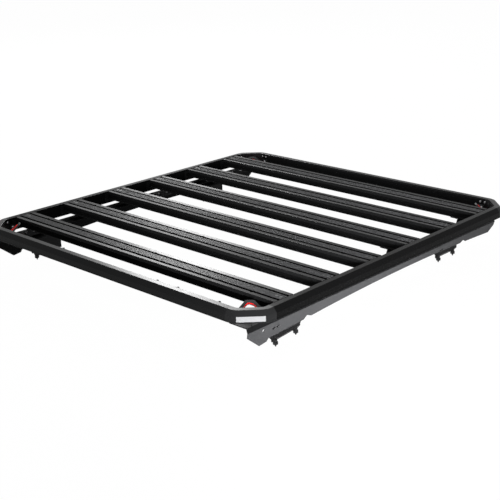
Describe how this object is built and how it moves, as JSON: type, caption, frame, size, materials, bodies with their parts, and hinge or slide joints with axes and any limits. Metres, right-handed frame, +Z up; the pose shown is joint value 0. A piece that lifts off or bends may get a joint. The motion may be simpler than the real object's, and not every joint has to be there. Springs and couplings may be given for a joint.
{
  "type": "flat platform roof rack",
  "caption": "Flat platform roof rack: T-slotted slats in a rail frame with chamfered corner castings, tie-down loops, folded foot rails and roof clamps.",
  "frame": {"origin": "under the middle of the tray, level with the lowest stud tips", "axes": "+Z up, +Y to the rear of the rack, +X to its right seen from the front"},
  "size_m": [1.243, 1.336, 0.1567],
  "materials": {
    "slat_black": "black coated extrusion, satin, finely ridged tread",
    "rail_black": "black coated extrusion, satin",
    "casting_black": "black coated casting, fine texture",
    "sheet_black": "black powder coat, satin",
    "seal_rubber": "matte black rubber",
    "clamp_black": "black coated, ribbed",
    "stud_black": "black zinc",
    "loop_black": "black powder coat",
    "lining_red": "red, smooth",
    "badge_silver": "plain brushed silver, bare"
  },
  "bodies": {
    "root": {"front_rail": "rail_black", "rear_rail": "rail_black", "left_rail": "rail_black", "right_rail": "rail_black", "corner_front_left": "casting_black", "corner_front_right": "casting_black", "corner_rear_left": "casting_black", "corner_rear_right": "casting_black", "slat_1": "slat_black", "slat_2": "slat_black", "slat_3": "slat_black", "slat_4": "slat_black", "slat_5": "slat_black", "slat_6": "slat_black", "slat_ends_left": "sheet_black", "slat_ends_right": "sheet_black", "bracket_left_1": "sheet_black", "bracket_left_3": "sheet_black", "bracket_left_6": "sheet_black", "bracket_right_1": "sheet_black", "bracket_right_3": "sheet_black", "bracket_right_6": "sheet_black", "foot_rail_left": "sheet_black", "foot_rail_right": "sheet_black", "foot_seal_left": "seal_rubber", "foot_seal_right": "seal_rubber", "clamp_front_left": "clamp_black", "clamp_front_right": "clamp_black", "clamp_rear_left": "clamp_black", "clamp_rear_right": "clamp_black", "clamp_studs_front_left": "stud_black", "clamp_studs_front_right": "stud_black", "clamp_studs_rear_left": "stud_black", "clamp_studs_rear_right": "stud_black", "tie_down_loop_front_left": "loop_black", "tie_down_loop_front_right": "loop_black", "tie_down_loop_rear_left": "loop_black", "tie_down_loop_rear_right": "loop_black", "tie_down_lining_front_left": "lining_red", "tie_down_lining_front_right": "lining_red", "tie_down_lining_rear_left": "lining_red", "tie_down_lining_rear_right": "lining_red", "corner_badge": "badge_silver"}
  },
  "joints": []
}
